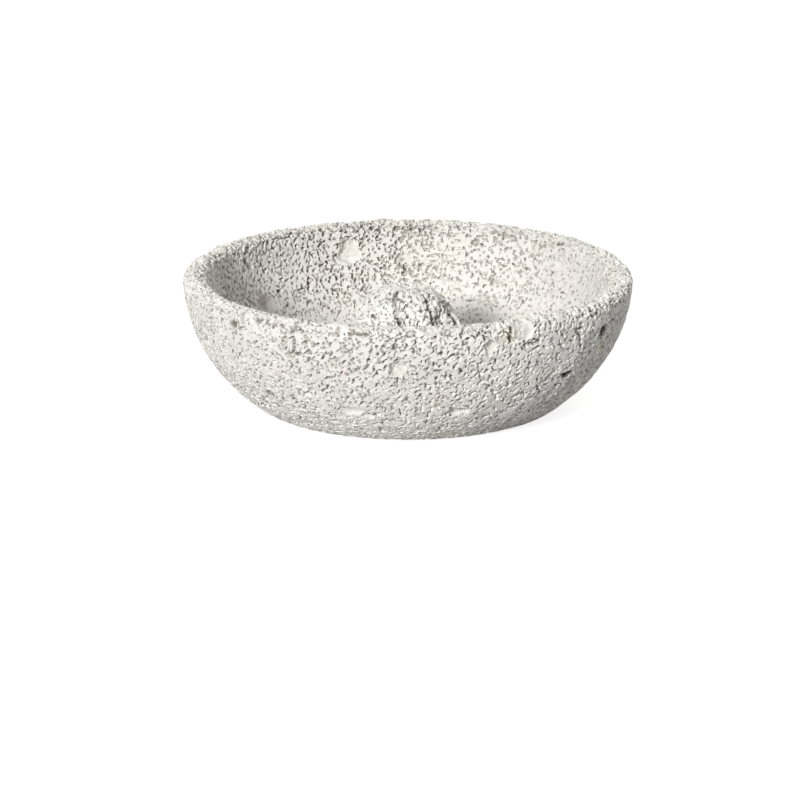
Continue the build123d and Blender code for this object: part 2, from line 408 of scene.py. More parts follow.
class SectionPen:
    """Draws half a section on the XZ plane, by extruding and spinning one end point."""

    def __init__(self, name, reach, level):
        bpy.ops.object.select_all(action="DESELECT")
        bpy.ops.mesh.primitive_plane_add(size=1, enter_editmode=True)
        self.piece = bpy.context.object
        self.piece.name = name
        self.piece.data.name = name
        bpy.ops.mesh.merge(type="CENTER")
        bpy.ops.transform.translate(value=(reach, 0, level))
        self.reach = reach
        self.level = level

    def line(self, reach, level, step):
        """Runs straight to a new place in steps of about this length."""
        run = Vector((reach - self.reach, 0, level - self.level))
        count = max(1, round(run.length / step))
        for _ in range(count):
            bpy.ops.mesh.extrude_region_move(TRANSFORM_OT_translate={"value": run / count})
        self.reach = reach
        self.level = level

    def arc(self, centre, angle, step):
        """Runs round a centre by an angle, anticlockwise with +X to the right and +Z up."""
        across = self.reach - centre[0]
        up = self.level - centre[1]
        count = max(2, round(hypot(across, up) * abs(angle) / step))
        bpy.ops.mesh.spin(steps=count, angle=angle, center=(centre[0], 0, centre[1]), axis=(0, 1, 0))
        self.reach = centre[0] + across * cos(angle) - up * sin(angle)
        self.level = centre[1] + across * sin(angle) + up * cos(angle)

    def squash(self, lowest, level, factor):
        """Scales what lies above a level, measured from another level."""
        bpy.ops.object.mode_set(mode="OBJECT")
        for vertex in self.piece.data.vertices:
            vertex.select = vertex.co.z > lowest
        bpy.ops.object.mode_set(mode="EDIT")
        bpy.ops.transform.resize(value=(1, 1, factor), center_override=(0, 0, level))
        bpy.ops.mesh.select_all(action="DESELECT")

    def take_end(self):
        """Selects the end point alone."""
        bpy.ops.object.mode_set(mode="OBJECT")
        end = Vector((self.reach, 0, self.level))
        nearest = min(self.piece.data.vertices, key=lambda vertex: (vertex.co - end).length)
        nearest.select = True
        bpy.ops.object.mode_set(mode="EDIT")

    def turn(self, steps):
        """Turns the section right round the Z axis and closes it."""
        bpy.ops.object.mode_set(mode="OBJECT")
        bpy.ops.object.modifier_add(type="SCREW")
        screw = self.piece.modifiers[-1]
        screw.steps = steps
        screw.render_steps = steps
        bpy.ops.object.modifier_apply(modifier=screw.name)
        bpy.ops.object.mode_set(mode="EDIT")
        bpy.ops.mesh.select_all(action="SELECT")
        bpy.ops.mesh.remove_doubles(threshold=MERGE_DISTANCE)
        bpy.ops.mesh.normals_make_consistent(inside=False)
        bpy.ops.object.mode_set(mode="OBJECT")
        return self.piece


def read_points(piece):
    """The places of a piece's points, one row each."""
    points = np.empty(len(piece.data.vertices) * 3)
    piece.data.vertices.foreach_get("co", points)
    return points.reshape(-1, 3)


def write_points(piece, points):
    """Moves a piece's points."""
    piece.data.vertices.foreach_set("co", points.ravel())
    piece.data.update()


def write_marks(piece, name, values):
    """Keeps one number for each point of a piece, for its material."""
    attribute = piece.data.attributes.new(name, "FLOAT", "POINT")
    attribute.data.foreach_set("value", values.astype(np.float32))


def fade(values, start, end):
    """Rises smoothly from 0 at start to 1 at end."""
    rise = np.clip((values - start) / (end - start), 0, 1)
    return rise * rise * (3 - 2 * rise)


def weigh(piece, name, weights):
    """Makes a vertex group with these weights, in steps."""
    group = piece.vertex_groups.new(name=name)
    steps = np.round(weights * WEIGHT_STEPS).astype(int)
    for step in range(WEIGHT_STEPS + 1):
        group.add(np.nonzero(steps == step)[0].tolist(), step / WEIGHT_STEPS, "REPLACE")


def roughen(piece, name, size, depth, middle, group, span=None, cells=False):
    """Displaces a piece along its normals by a noise or by cells, and says how far each point went."""
    texture = bpy.data.textures.new(name, "VORONOI" if cells else "CLOUDS")
    texture.noise_scale = size
    if cells:
        # Nothing on the border between two cells, and more inside them
        texture.weight_1 = -1
        texture.weight_2 = 1
    else:
        texture.noise_depth = 1
    if span:
        texture.use_color_ramp = True
        texture.color_ramp.interpolation = "EASE"
        low, high = texture.color_ramp.elements
        low.position, high.position = span
        low.color = (0, 0, 0, 1)
        high.color = (1, 1, 1, 1)
    before = read_points(piece)
    bpy.ops.object.modifier_add(type="DISPLACE")
    modifier = piece.modifiers[-1]
    modifier.texture = texture
    modifier.texture_coords = "LOCAL"
    modifier.strength = depth
    modifier.mid_level = middle
    modifier.vertex_group = group
    bpy.ops.object.modifier_apply(modifier=modifier.name)
    bpy.data.textures.remove(texture)
    return np.linalg.norm(read_points(piece) - before, axis=1)


def thin(piece, triangles, group):
    """Thins a piece's mesh to a number of triangles, and leaves it as it is outside a group."""
    piece.data.calc_loop_triangles()
    bpy.ops.object.modifier_add(type="DECIMATE")
    modifier = piece.modifiers[-1]
    modifier.vertex_group = group
    modifier.ratio = triangles / len(piece.data.loop_triangles)
    bpy.ops.object.modifier_apply(modifier=modifier.name)


def waves(points, size):
    """Slow uneven pattern about zero, summed from waves that run in many directions."""
    total = np.zeros(len(points))
    for index in range(WAVE_COUNT):
        up = 1 - (2 * index + 1) / WAVE_COUNT
        across = sqrt(1 - up * up)
        turned = index * GOLDEN_TURN
        direction = np.array((across * cos(turned), across * sin(turned), up))
        total += np.sin(points @ direction * tau / size + index * index)
    return total / sqrt(WAVE_COUNT / 2)


def front_turn(degrees):
    """Unit vector from the axis towards a turn counted from the front."""
    return np.array((sin(radians(degrees)), -cos(radians(degrees)), 0))


def turn_gap(degrees, middle):
    """How far turns lie past a middle one, in degrees from -180 to 180."""
    return (degrees - middle + 180) % 360 - 180


def press(points, plain, place, facing, degrees, width, depth, stretch):
    """Presses a ragged dish into the plain surface, and says how smooth it leaves each point."""
    outward = facing / np.linalg.norm(facing)
    along = front_turn(degrees + 90)
    upward = np.cross(along, outward)
    offsets = plain - place
    near = np.linalg.norm(offsets, axis=1) < width * max(stretch, 1)
    across = offsets[near] @ along / stretch
    up = offsets[near] @ upward
    around = np.arctan2(up, across)
    few, many = RAGGED_COUNTS
    ragged = 1 + RAGGED_SHARE * (np.sin(few * around + degrees) + np.sin(many * around - degrees))
    reach = np.hypot(across, up) / (ragged * width / 2)
    left = RELIEF_LEFT_SHARE * (points[near] - plain[near])
    sunk = plain[near] + left - np.outer(depth * (1 - reach**FLATTENING_POWER), outward)
    points[near] = np.where((reach < 1)[:, None], sunk, points[near])
    smooth = np.zeros(len(points))
    smooth[near] = 1 - fade(reach, *SMOOTH_END_SHARES)
    return smooth


def settle(piece, node, material):
    """Hands a finished piece over: its finish, the body it rides on and the solid it stands for."""
    bpy.ops.object.shade_smooth_by_angle(angle=SMOOTH_ANGLE)
    piece.data.materials.clear()
    piece.data.materials.append(material)
    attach(piece, "root")
    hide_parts(node)


# Bowl


# One side of the bowl: the radius of its arc, 1 if it faces out and -1 if it faces in, what is in it
BowlSide = namedtuple("BowlSide", "radius facing hollow_shares crack_shares")


class BowlShape:
    """Measures of the bowl's section that follow from its settings."""

    def __init__(self, bowl):
        self.outer_radius = bowl.outer_diameter / 2
        self.foot_radius = bowl.foot_diameter / 2
        self.foot_level = bowl.foot_level
        self.floor_level = bowl.foot_level + bowl.floor
        self.side_top = bowl.height - bowl.lip_rise
        run = self.outer_radius - self.foot_radius
        rise = self.side_top - self.foot_level
        lean = bowl.side_lean
        self.side_radius = (run**2 + rise**2) / (2 * (run * cos(lean) - rise * sin(lean)))
        self.inner_radius = self.side_radius - bowl.wall
        self.centre = (
            self.outer_radius - self.side_radius * cos(lean),
            self.side_top + self.side_radius * sin(lean),
        )
        self.lip_inside = self.side_reach(self.inner_radius, self.side_top)
        self.lip_reach = (self.outer_radius - self.lip_inside) / 2
        self.lip_middle = self.outer_radius - self.lip_reach
        self.outer = BowlSide(self.side_radius, 1, OUTER_HOLLOW_SHARES, OUTER_CRACK_SHARES)
        self.inner = BowlSide(self.inner_radius, -1, INNER_HOLLOW_SHARES, INNER_CRACK_SHARES)

    def side_reach(self, radius, level):
        """Distance from the axis to an arc about the side's centre, at this level."""
        return self.centre[0] + sqrt(radius**2 - (self.centre[1] - level) ** 2)

    def fillet_centre(self, radius, fillet, level):
        """Centre of a fillet between an arc of the side and a flat below it."""
        return self.side_reach(radius - fillet, level + fillet), level + fillet

    def angle(self, place):
        """Angle of a place of the section about the side's centre."""
        return atan2(place[1] - self.centre[1], place[0] - self.centre[0])


def draw_bowl(bowl, shape):
    """Turns the bowl's plain section."""
    fine = bowl.grain
    coarse = fine * HIDDEN_GRAINS
    pad_radius = PAD_HIGH.x + bowl.pad_gap
    seat_radius = bowl.seat_diameter / 2
    foot_fillet = shape.fillet_centre(shape.side_radius, bowl.foot_edge, shape.foot_level)
    floor_fillet = shape.fillet_centre(shape.inner_radius, bowl.floor_fillet, shape.floor_level)
    down = -tau / 4
    inside = (shape.lip_inside, shape.side_top)

    pen = SectionPen("bowl_casting", 0, PAD_HIGH.z)
    pen.line(pad_radius, PAD_HIGH.z, coarse)
    pen.line(pad_radius, shape.foot_level, coarse)
    pen.line(foot_fillet[0], shape.foot_level, fine * FOOT_GRAINS)
    pen.arc(foot_fillet, shape.angle(foot_fillet) - down, fine)
    pen.arc(shape.centre, -bowl.side_lean - shape.angle(foot_fillet), fine)
    pen.arc((shape.lip_middle, shape.side_top), tau / 2, fine)
    pen.squash(shape.side_top, shape.side_top, bowl.lip_rise / shape.lip_reach)
    pen.take_end()
    pen.arc(shape.centre, shape.angle(floor_fillet) - shape.angle(inside), fine)
    pen.arc(floor_fillet, down - shape.angle(floor_fillet), fine)
    pen.line(seat_radius, shape.floor_level, fine * FLOOR_GRAINS)
    pen.line(seat_radius, shape.floor_level - bowl.seat_depth, coarse)
    pen.line(0, shape.floor_level - bowl.seat_depth, coarse)
    return pen.turn(round(tau * shape.outer_radius / fine))


def press_hollows(points, plain, bowl, shape, side):
    """Presses one side's hollows, and says how smooth and how dirty they leave each point."""
    smooth = np.zeros(len(points))
    dirty = np.zeros(len(points))
    for degrees, height_share, width_share, depth_share, stretch, dirt_share in side.hollow_shares:
        level = bowl.height * height_share
        reach = shape.side_reach(side.radius, level)
        ahead = front_turn(degrees)
        place = ahead * reach + np.array((0, 0, level))
        outward = ahead * (reach - shape.centre[0]) + np.array((0, 0, level - shape.centre[1]))
        width = bowl.hollow_width * width_share
        depth = bowl.hollow_depth * depth_share
        pressed = press(points, plain, place, outward * side.facing, degrees, width, depth, stretch)
        smooth = np.maximum(smooth, pressed)
        dirty = np.maximum(dirty, pressed * dirt_share)
    return smooth, dirty


def cut_cracks(points, plain, bowl, shape, side):
    """Cuts one side's thin cracks, and says how deep each point lies in one."""
    outward = plain - np.array((0, 0, shape.centre[1]))
    angles = np.degrees(np.arctan2(plain[:, 0], -plain[:, 1]))
    reach = np.hypot(plain[:, 0], plain[:, 1])
    on_side = np.abs(np.hypot(reach - shape.centre[0], outward[:, 2]) - side.radius) < bowl.wall / 4
    depths = np.zeros(len(points))
    for start_turn, start_share, end_turn, end_share, width_share, depth_share in side.crack_shares:
        middle_turn = (start_turn + end_turn) / 2
        across = np.radians(turn_gap(angles, middle_turn)) * reach
        up = plain[:, 2] - bowl.height * (start_share + end_share) / 2
        run = Vector((
            radians(end_turn - start_turn) * shape.side_reach(side.radius, bowl.height * start_share),
            bowl.height * (end_share - start_share),
        ))
        along = (across * run.x + up * run.y) / run.length_squared
        wander = bowl.crack_width * np.sin(along * WINDING + middle_turn) / 2
        aside = np.abs((up * run.x - across * run.y) / run.length + wander)
        taper = np.clip(1 - (2 * along) ** 2, 0, 1)
        width = bowl.crack_width * width_share
        depth = bowl.crack_depth * depth_share * taper * np.clip(2 - 2 * aside / width, 0, 1)
        depths = np.maximum(depths, depth)
    depths *= on_side
    outward[:, :2] *= ((reach - shape.centre[0]) / np.maximum(reach, bowl.wall))[:, None]
    outward /= np.maximum(np.linalg.norm(outward, axis=1), bowl.wall)[:, None]
    points -= outward * (side.facing * depths)[:, None]
    return depths / bowl.crack_depth


def press_chips(points, plain, bowl, shape):
    """Bites chips out of the lip, and says how smooth they are."""
    smooth = np.zeros(len(points))
    for degrees, tilt, width_share, depth_share in LIP_CHIP_SHARES:
        across = front_turn(degrees) * cos(radians(tilt))
        up = np.array((0, 0, sin(radians(tilt))))
        place = front_turn(degrees) * shape.lip_middle + np.array((0, 0, shape.side_top))
        place = place + across * shape.lip_reach + up * bowl.lip_rise
        outward = across / shape.lip_reach + up / bowl.lip_rise
        width = bowl.chip_width * width_share
        depth = bowl.chip_depth * depth_share
        smooth = np.maximum(smooth, press(points, plain, place, outward, degrees, width, depth, 1))
    return smooth


def stain(plain, bowl, shape):
    """Says how strong the stains are in a few spots of the outer side, and how strong the painted warm
    bounce light is along the foot.
    """
    level = plain[:, 2]
    outside = np.hypot(plain[:, 0], plain[:, 1]) > shape.foot_radius - bowl.foot_edge
    # Painted warm bounce light: a tan band all round the foot
    low = 1 - fade(level, shape.foot_level, shape.foot_level + bowl.foot_bounce)
    stain_and_bounce = np.where(outside, low, 0)
    for degrees, height_share, width_share in STAIN_SHARES:
        spot_level = bowl.height * height_share
        place = front_turn(degrees) * shape.side_reach(shape.side_radius, spot_level)
        distance = np.linalg.norm(plain - place - np.array((0, 0, spot_level)), axis=1)
        spot_radius = bowl.stain_width * width_share / 2
        stain_and_bounce = np.maximum(stain_and_bounce, 1 - fade(distance, spot_radius / 2, spot_radius))
    return stain_and_bounce


def weigh_bowl(piece, plain, bowl, stone, shape):
    """Makes the groups that say where each relief goes, and says which points lie on the inner side."""
    reach = np.hypot(plain[:, 0], plain[:, 1])
    level = plain[:, 2]
    fade_run = bowl.wall / 2
    under = (level < shape.floor_level - bowl.seat_depth / 2) & (reach < shape.foot_radius - fade_run)
    seat = (level < shape.floor_level + bowl.foot_edge) & (reach < bowl.seat_diameter)
    side = fade(level, shape.foot_level, shape.foot_level + fade_run)
    weights = np.where(under | seat, 0, FOOT_RELIEF_SHARE + (1 - FOOT_RELIEF_SHARE) * side)

    from_centre = np.hypot(reach - shape.centre[0], level - shape.centre[1])
    inside = from_centre < shape.side_radius - bowl.wall / 2
    inside &= level > shape.floor_level - bowl.foot_edge
    change_run = shape.outer_radius * CHANGE_SHARE
    right = fade(plain[:, 0], -change_run, 0)
    low = 1 - fade(level, shape.floor_level, shape.floor_level + bowl.floor_fillet)
    right_relief = 1 - (1 - RIGHT_RELIEF_SHARE) * right
    low_relief = 1 - (1 - FLOOR_RELIEF_SHARE) * low
    weights = np.where(inside, right_relief * weights * low_relief, weights)
    patches = fade(waves(plain, stone.patch_size), *PATCH_RANGE)
    weights = weights * (1 - (1 - stone.patch_relief) * patches)

    sparse = np.where(inside, fade(plain[:, 0], 0, change_run), 0)
    weigh(piece, "relief", weights)
    weigh(piece, "dense", weights * (1 - sparse))
    weigh(piece, "sparse", weights * sparse)
    weigh(piece, "lip", fade(level, shape.side_top - bowl.lip_rise, shape.side_top + bowl.lip_rise / 2))
    return inside


def roughen_bowl(piece, bowl, stone, shape):
    """Gives the turned bowl the lumps, pits, hollows, cracks and chips of the casting."""
    plain = read_points(piece)
    inside = weigh_bowl(piece, plain, bowl, stone, shape)
    pit = (stone.pit_size, stone.pit_depth, HIGHEST)
    roughen(piece, "wobble", stone.wobble_size, stone.wobble_depth, WOBBLE_MIDDLE, "relief")
    roughen(piece, "lumps", stone.lump_size, stone.lump_depth, LUMP_MIDDLE, "relief")
    pits = roughen(piece, "pits", *pit, "dense", PIT_RANGE)
    pits += roughen(piece, "few_pits", *pit, "sparse", FEW_PITS_RANGE)
    crumbs = roughen(piece, "crumbs", stone.crumb_size, stone.crumb_depth, HIGHEST, "lip", CRUMB_RANGE)

    points = read_points(piece)
    outer_smooth, outer_dirt = press_hollows(points, plain, bowl, shape, shape.outer)
    inner_smooth, inner_dirt = press_hollows(points, plain, bowl, shape, shape.inner)
    chip_smooth = press_chips(points, plain, bowl, shape)
    outer_cracks = cut_cracks(points, plain, bowl, shape, shape.outer)
    inner_cracks = cut_cracks(points, plain, bowl, shape, shape.inner)
    write_points(piece, points)

    smooth = np.maximum(np.maximum(outer_smooth, inner_smooth), chip_smooth)
    cracks = np.maximum(outer_cracks, inner_cracks)
    weigh(piece, "plain", np.where((smooth > 0) & (smooth < 1) | (cracks > 0), 0, 1))
    # Painted shade in the pits, the crumbs and the cracks
    painted_pit_shade = np.clip(pits / stone.pit_depth + CRUMB_PAINTED_SHADE_SHARE * crumbs / stone.crumb_depth, 0, 1)
    write_marks(piece, "pit", np.clip(painted_pit_shade * (1 - smooth) + cracks, 0, 1))
    write_marks(piece, "smooth", smooth)
    # Painted shade over the hollows, the chips and the whole inner side
    write_marks(piece, "dull", np.maximum(HOLLOW_PAINTED_SHADE_SHARE * smooth, INNER_PAINTED_SHADE_SHARE * inside))
    write_marks(piece, "dirt", np.maximum(outer_dirt, inner_dirt))
    # Real stains in a few spots, and painted warm bounce light along the foot
    write_marks(piece, "stain", stain(plain, bowl, shape))


class HOLDER_OT_bowl(bpy.types.Operator):
    """Turn the bowl's section, roughen it as cast stone and give it hollows, cracks and chips"""

    bl_idname = "holder.bowl"
    bl_label = "Bowl"

    def execute(self, context):
        bowl = context.scene.holder_bowl
        stone = context.scene.holder_stone
        shape = BowlShape(bowl)
        piece = draw_bowl(bowl, shape)
        roughen_bowl(piece, bowl, stone, shape)
        thin(piece, bowl.triangles, "plain")
        piece.vertex_groups.clear()
        settle(piece, "bowl", cast_stone("bowl_stone", stone))
        return {"FINISHED"}


# Rock


def draw_rock(rock, hole_radius):
    """Turns the rock's plain section, with its tenon and its blind hole."""
    fine = rock.grain
    coarse = fine * ROCK_HIDDEN_GRAINS
    rise = rock.top - rock.floor_level
    tenon_radius = rock.tenon_diameter / 2
    pen = SectionPen("stick_rock_casting", 0, rock.tenon_foot)
    pen.line(tenon_radius, rock.tenon_foot, coarse)
    pen.line(tenon_radius, rock.floor_level, coarse)
    for height_share, width_share in ROCK_SECTION_SHARES:
        pen.line(rock.width / 2 * width_share, rock.floor_level + rise * height_share, fine)
    pen.line(hole_radius, rock.top, fine)
    pen.line(hole_radius, SLEEVE_LOW.z, coarse)
    pen.line(0, SLEEVE_LOW.z, coarse)
    return pen.turn(round(tau * rock.width / 2 / fine))


def push_crags(points, rock, weights):
    """Pushes the rock's flank out and in by its waves of crags, and its upper half to the left."""
    heights = (points[:, 2] - rock.floor_level) / (rock.top - rock.floor_level)
    section_heights = [height_share for height_share, _ in ROCK_SECTION_SHARES]
    sections = np.interp(heights, section_heights, range(len(section_heights)))
    angles = np.arctan2(points[:, 0], -points[:, 1])
    crags = np.zeros(len(points))
    for count, section_turn, reach_share in CRAG_WAVE_SHARES:
        crags += reach_share * np.sin(count * angles + section_turn * sections)
    points[:, :2] *= (1 + crags * weights)[:, None]
    points[:, 0] -= rock.drift * weights * np.clip(2 * heights, 0, 1)


def cut_clefts(points, rock, weights):
    """Cuts clefts into the rock's flank, and says how deep each point lies in one."""
    rise = rock.top - rock.floor_level
    angles = np.degrees(np.arctan2(points[:, 0], -points[:, 1]))
    reach = np.hypot(points[:, 0], points[:, 1])
    heights = (points[:, 2] - rock.floor_level) / rise
    depths = np.zeros(len(points))
    for foot_turn, head_turn, foot_share, head_share, width_share, depth_share in ROCK_CLEFT_SHARES:
        along = (heights - foot_share) / (head_share - foot_share)
        wander = CLEFT_SWAY * np.sin(along * WINDING + foot_turn)
        middle = foot_turn + (head_turn - foot_turn) * along + np.degrees(wander)
        aside = np.radians(turn_gap(angles, middle)) * np.maximum(reach, rock.cleft_width)
        half_width = rock.cleft_width * width_share / 2
        ends = fade(along, *CLEFT_OPENING_SHARES) * (1 - fade(along, *CLEFT_CLOSING_SHARES))
        depth = rock.cleft_depth * depth_share * ends * np.clip(1 - np.abs(aside) / half_width, 0, 1)
        depths = np.maximum(depths, depth)
    depths *= weights
    middle_level = rock.floor_level + rise / 3
    inwards = np.stack((points[:, 0], points[:, 1], np.maximum(points[:, 2] - middle_level, 0)), axis=1)
    inwards /= np.maximum(np.linalg.norm(inwards, axis=1), rock.grain)[:, None]
    points -= inwards * depths[:, None]
    return depths / rock.cleft_depth


def roughen_rock(piece, rock, stone, hole_radius):
    """Gives the turned rock its crags, creases, clefts, lumps and pits."""
    points = read_points(piece)
    reach = np.hypot(points[:, 0], points[:, 1])
    level = points[:, 2]
    shown = np.where(level < rock.floor_level + rock.grain, 0, 1)
    flank = fade(reach, hole_radius, rock.mouth_width / 2)
    weights = shown * flank
    weigh(piece, "relief", weights)
    push_crags(points, rock, weights)
    worn = (1 - flank) * np.clip(points[:, 1] / hole_radius, 0, 1)
    points[:, 2] -= np.where(level > SLEEVE_HIGH.z, rock.mouth_depth * worn, 0)
    clefts = cut_clefts(points, rock, weights)
    write_points(piece, points)
    crease = (rock.block_size, rock.crease_depth, HIGHEST)
    creases = roughen(piece, "creases", *crease, "relief", CREASE_RANGE, cells=True)
    roughen(piece, "lumps", stone.lump_size, stone.lump_depth, ROCK_LUMP_MIDDLE, "relief")
    pits = roughen(piece, "pits", stone.pit_size, stone.pit_depth, HIGHEST, "relief", ROCK_PITS_RANGE)
    # Painted shade in the pits, the creases and the clefts of the rock
    painted_crease_shade = CREASE_PAINTED_SHADE_SHARE * creases / rock.crease_depth
    write_marks(piece, "pit", np.clip(pits / stone.pit_depth + painted_crease_shade + clefts, 0, 1))
    for name in ("smooth", "dull", "dirt", "stain"):
        write_marks(piece, name, np.zeros(len(points)))
    piece.vertex_groups.clear()


class HOLDER_OT_stick_rock(bpy.types.Operator):
    """Turn the rock, break its sides into crags and cut clefts into them"""

    bl_idname = "holder.stick_rock"
    bl_label = "Stick rock"

    def execute(self, context):
        rock = context.scene.holder_rock
        stone = context.scene.holder_stone
        sleeve = context.scene.holder_sleeve
        hole_radius = sleeve.outer_diameter / 2 + rock.hole_clearance
        piece = draw_rock(rock, hole_radius)
        roughen_rock(piece, rock, stone, hole_radius)
        settle(piece, "stick_rock", cast_stone("rock_stone", stone))
        return {"FINISHED"}


# Sleeve and pad


class HOLDER_OT_stick_sleeve(bpy.types.Operator):
    """Turn the thin brass tube that the stick stands in"""

    bl_idname = "holder.stick_sleeve"
    bl_label = "Stick sleeve"

    def execute(self, context):
        sleeve = context.scene.holder_sleeve
        outer = sleeve.outer_diameter / 2
        bore = sleeve.bore / 2
        step = sleeve.bore
        pen = SectionPen("stick_sleeve_tube", bore, SLEEVE_LOW.z)
        pen.line(outer, SLEEVE_LOW.z, step)
        pen.line(outer, SLEEVE_HIGH.z, step)
        pen.line(bore + sleeve.lead, SLEEVE_HIGH.z, step)
        pen.line(bore, SLEEVE_HIGH.z - sleeve.lead, step)
        pen.line(bore, SLEEVE_LOW.z, step)
        piece = pen.turn(sleeve.sides)
        settle(piece, "stick_sleeve", satin_brass(sleeve))
        return {"FINISHED"}


class HOLDER_OT_foot_pad(bpy.types.Operator):
    """Turn the cork disc that the bowl stands on, with its edges eased"""

    bl_idname = "holder.foot_pad"
    bl_label = "Foot pad"

    def execute(self, context):
        pad = context.scene.holder_pad
        radius = pad.diameter / 2
        low = PAD_LOW.z
        high = low + pad.thickness
        rounding = pad.edge / pad.edge_steps
        pen = SectionPen("foot_pad_disc", 0, low)
        pen.line(radius - pad.edge, low, pad.thickness)
        pen.arc((radius - pad.edge, low + pad.edge), tau / 4, rounding)
        pen.line(radius, high - pad.edge, pad.grain)
        pen.arc((radius - pad.edge, high - pad.edge), tau / 4, rounding)
        pen.line(0, high, pad.thickness)
        piece = pen.turn(pad.sides)
        settle(piece, "foot_pad", pressed_cork(pad))
        return {"FINISHED"}


# Materials


def add_node(tree, kind, inputs=None, **settings):
    """Adds a node, sets it up and fills or links its inputs."""
    node = tree.nodes.new(kind)
    for name, value in settings.items():
        setattr(node, name, value)
    for name, value in (inputs or {}).items():
        if isinstance(value, bpy.types.NodeSocket):
            tree.links.new(value, node.inputs[name])
        else:
            node.inputs[name].default_value = value
    return node


def new_material(name):
    """An empty material with its shader and its Object coordinates."""
    material = bpy.data.materials.new(name)
    material.use_nodes = True
    tree = material.node_tree
    tree.nodes.clear()
    shader = add_node(tree, "ShaderNodeBsdfPrincipled")
    add_node(tree, "ShaderNodeOutputMaterial", {"Surface": shader.outputs["BSDF"]})
    coordinates = add_node(tree, "ShaderNodeTexCoord").outputs["Object"]
    return material, tree, shader, coordinates


def noise(tree, coordinates, size, detail=2.0, roughness=0.5, distortion=0.0):
    """Noise with features of about this size."""
    inputs = {"Vector": coordinates, "Scale": 1 / size, "Detail": detail, "Roughness": roughness,
              "Distortion": distortion}
    return add_node(tree, "ShaderNodeTexNoise", inputs).outputs["Fac"]


def ramp(tree, value, start, end, low=0, high=1, ease="SMOOTHSTEP"):
    """Takes a value from low at start to high at end."""
    inputs = {"Value": value, "From Min": start, "From Max": end, "To Min": low, "To Max": high}
    return add_node(tree, "ShaderNodeMapRange", inputs, interpolation_type=ease).outputs["Result"]


def join(tree, operation, first, second):
    """Works out one number from two."""
    return add_node(tree, "ShaderNodeMath", {0: first, 1: second}, operation=operation).outputs[0]


def blend(tree, factor, first, second):
    """Mixes two colours."""
    node = add_node(tree, "ShaderNodeMix", {0: factor}, data_type="RGBA")
    for index, value in zip(MIX_INPUTS, (first, second)):
        if isinstance(value, bpy.types.NodeSocket):
            tree.links.new(value, node.inputs[index])
        else:
            node.inputs[index].default_value = (*value, 1)
    return node.outputs[MIX_OUTPUT]


def bump(tree, height, distance, normal=None):
    """Raises the surface by a height in shares of a distance."""
    inputs = {"Height": height, "Distance": distance, "Strength": 1}
    if normal:
        inputs["Normal"] = normal
    return add_node(tree, "ShaderNodeBump", inputs).outputs["Normal"]


def mark(tree, name):
    """A number kept with each point of the piece."""
    return add_node(tree, "ShaderNodeAttribute", attribute_name=name).outputs["Fac"]


def cast_stone(name, stone):
    """Porous off-white cast stone: mottled, with pinholes, pits and a fine grain, painted shade in its
    pits, pinholes, crumbs, cracks, creases, clefts, hollows, chips and inner side, and painted warm
    bounce light along the foot.
    """
    material, tree, shader, coordinates = new_material(name)
    rough_share = join(tree, "SUBTRACT", 1, mark(tree, "smooth"))
    mottle = noise(tree, coordinates, stone.blotch_size, detail=3.0)
    blotches = ramp(tree, mottle, start=0.40, end=0.66, high=0.50)
    clouds = noise(tree, coordinates, stone.tint_size, roughness=0.6, distortion=0.6)
    warm = ramp(tree, clouds, start=0.56, end=0.74, high=0.50)
    grain = noise(tree, coordinates, stone.grain_size, roughness=0.6)
    specks = ramp(tree, grain, start=0.35, end=0.65, high=0.12)
    cell_inputs = {"Vector": coordinates, "Scale": 1 / stone.pinhole_spacing}
    cells = add_node(tree, "ShaderNodeTexVoronoi", cell_inputs)
    holes = ramp(tree, cells.outputs["Distance"], start=0.30, end=0.20)
    pinholes = join(tree, "MULTIPLY", holes, rough_share)
    # Painted shade in the pinholes
    painted_pinhole_shade = ramp(tree, pinholes, start=0, end=1, high=0.50, ease="LINEAR")
    # Real stains, and painted warm bounce light along the foot
    stains = ramp(tree, mark(tree, "stain"), start=0, end=1, high=0.55, ease="LINEAR")
    # Painted shade in the pits, crumbs, cracks, creases and clefts
    pits = ramp(tree, mark(tree, "pit"), start=0.40, end=1, high=0.60)

    body = blend(tree, blotches, stone.pale, stone.shade)
    body = blend(tree, warm, body, stone.tint)
    body = blend(tree, specks, body, stone.shade)
    # Painted shade over the bowl's inner side, its hollows and its chips
    body = blend(tree, mark(tree, "dull"), body, stone.shade)
    body = blend(tree, stains, body, stone.stain_and_bounce)
    # Pinholes and pits take the painted shade colour
    body = blend(tree, painted_pinhole_shade, body, stone.painted_shade_colour)
    body = blend(tree, pits, body, stone.painted_shade_colour)
    body = blend(tree, mark(tree, "dirt"), body, stone.dirt)
    tree.links.new(body, shader.inputs["Base Color"])

    grain_share = ramp(tree, rough_share, start=0, end=1, low=0.25)
    fine = bump(tree, join(tree, "MULTIPLY", grain, grain_share), stone.grain_depth)
    rough = bump(tree, join(tree, "SUBTRACT", 1, pinholes), stone.pinhole_depth, fine)
    tree.links.new(rough, shader.inputs["Normal"])
    roughness = ramp(tree, grain, start=0.3, end=0.7, low=0.82, high=0.96)
    tree.links.new(roughness, shader.inputs["Roughness"])
    shader.inputs["Specular IOR Level"].default_value = 0.25
    return material


def satin_brass(sleeve):
    """Drawn brass, with fine marks along the tube."""
    material, tree, shader, coordinates = new_material("sleeve_brass")
    stretch = {"Vector": coordinates, "Scale": (1, 1, MARK_RUN_SHARE)}
    lengthwise = add_node(tree, "ShaderNodeMapping", stretch).outputs["Vector"]
    marks = noise(tree, lengthwise, sleeve.mark_size, detail=3.0)
    body = blend(tree, ramp(tree, marks, start=0.35, end=0.70), sleeve.brass, sleeve.dark)
    tree.links.new(body, shader.inputs["Base Color"])
    roughness = ramp(tree, marks, start=0.3, end=0.7, low=0.28, high=0.42)
    tree.links.new(roughness, shader.inputs["Roughness"])
    tree.links.new(bump(tree, marks, sleeve.mark_depth), shader.inputs["Normal"])
    shader.inputs["Metallic"].default_value = 1
    return material


